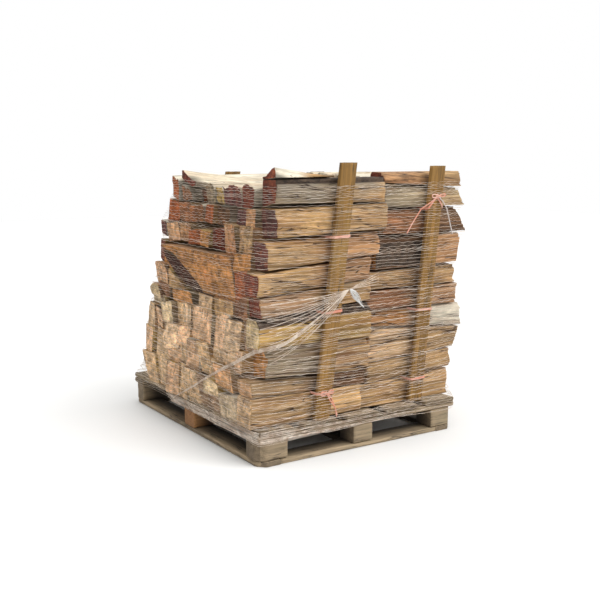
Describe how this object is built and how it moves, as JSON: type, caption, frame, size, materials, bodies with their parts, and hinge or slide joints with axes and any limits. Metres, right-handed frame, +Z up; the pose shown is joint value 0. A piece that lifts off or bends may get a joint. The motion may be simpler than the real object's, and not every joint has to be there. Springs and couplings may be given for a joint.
{
  "type": "palletised firewood bundle",
  "caption": "Split firewood stacked in rows on a block pallet, held by tied upright slats and wrapped in netting.",
  "frame": {"origin": "centre of the pallet's underside, on the middle base board", "axes": "+Z up, +X along the logs towards the far row, -Y out of the front face that the picture shows"},
  "size_m": [1.1475, 1.2244, 1.166],
  "materials": {
    "split_wood": "rough split",
    "pallet_wood": "weathered, sawn",
    "slat_wood": "sawn",
    "twine": "fibrous",
    "net": "knitted"
  },
  "bodies": {
    "root": {"deck_board_1": "pallet_wood", "deck_board_2": "pallet_wood", "deck_board_3": "pallet_wood", "deck_board_4": "pallet_wood", "deck_board_5": "pallet_wood", "stringer_front": "pallet_wood", "block_front_left": "pallet_wood", "block_front_centre": "pallet_wood", "block_front_right": "pallet_wood", "stringer_middle": "pallet_wood", "block_middle_left": "pallet_wood", "block_middle_centre": "pallet_wood", "block_middle_right": "pallet_wood", "stringer_back": "pallet_wood", "block_back_left": "pallet_wood", "block_back_centre": "pallet_wood", "block_back_right": "pallet_wood", "base_board_left": "pallet_wood", "base_board_right": "pallet_wood", "base_board_front": "pallet_wood", "base_board_back": "pallet_wood", "base_board_centre": "pallet_wood", "log_near_1": "split_wood", "log_near_2": "split_wood", "log_near_3": "split_wood", "log_near_4": "split_wood", "log_near_5": "split_wood", "log_near_6": "split_wood", "log_near_7": "split_wood", "log_near_8": "split_wood", "log_near_9": "split_wood", "log_near_10": "split_wood", "logs_near_lower": "split_wood", "logs_near_middle": "split_wood", "logs_near_upper": "split_wood", "log_far_1": "split_wood", "log_far_2": "split_wood", "log_far_3": "split_wood", "log_far_4": "split_wood", "log_far_5": "split_wood", "log_far_6": "split_wood", "log_far_7": "split_wood", "log_far_8": "split_wood", "log_far_9": "split_wood", "log_far_10": "split_wood", "logs_far_lower": "split_wood", "logs_far_middle": "split_wood", "logs_far_upper": "split_wood", "slat_front_1": "slat_wood", "slat_back_1": "slat_wood", "twine_1_low": "twine", "twine_1_mid": "twine", "twine_1_high": "twine", "slat_front_2": "slat_wood", "slat_back_2": "slat_wood", "twine_2_low": "twine", "twine_2_mid": "twine", "twine_2_high": "twine", "net": "net"}
  },
  "joints": []
}
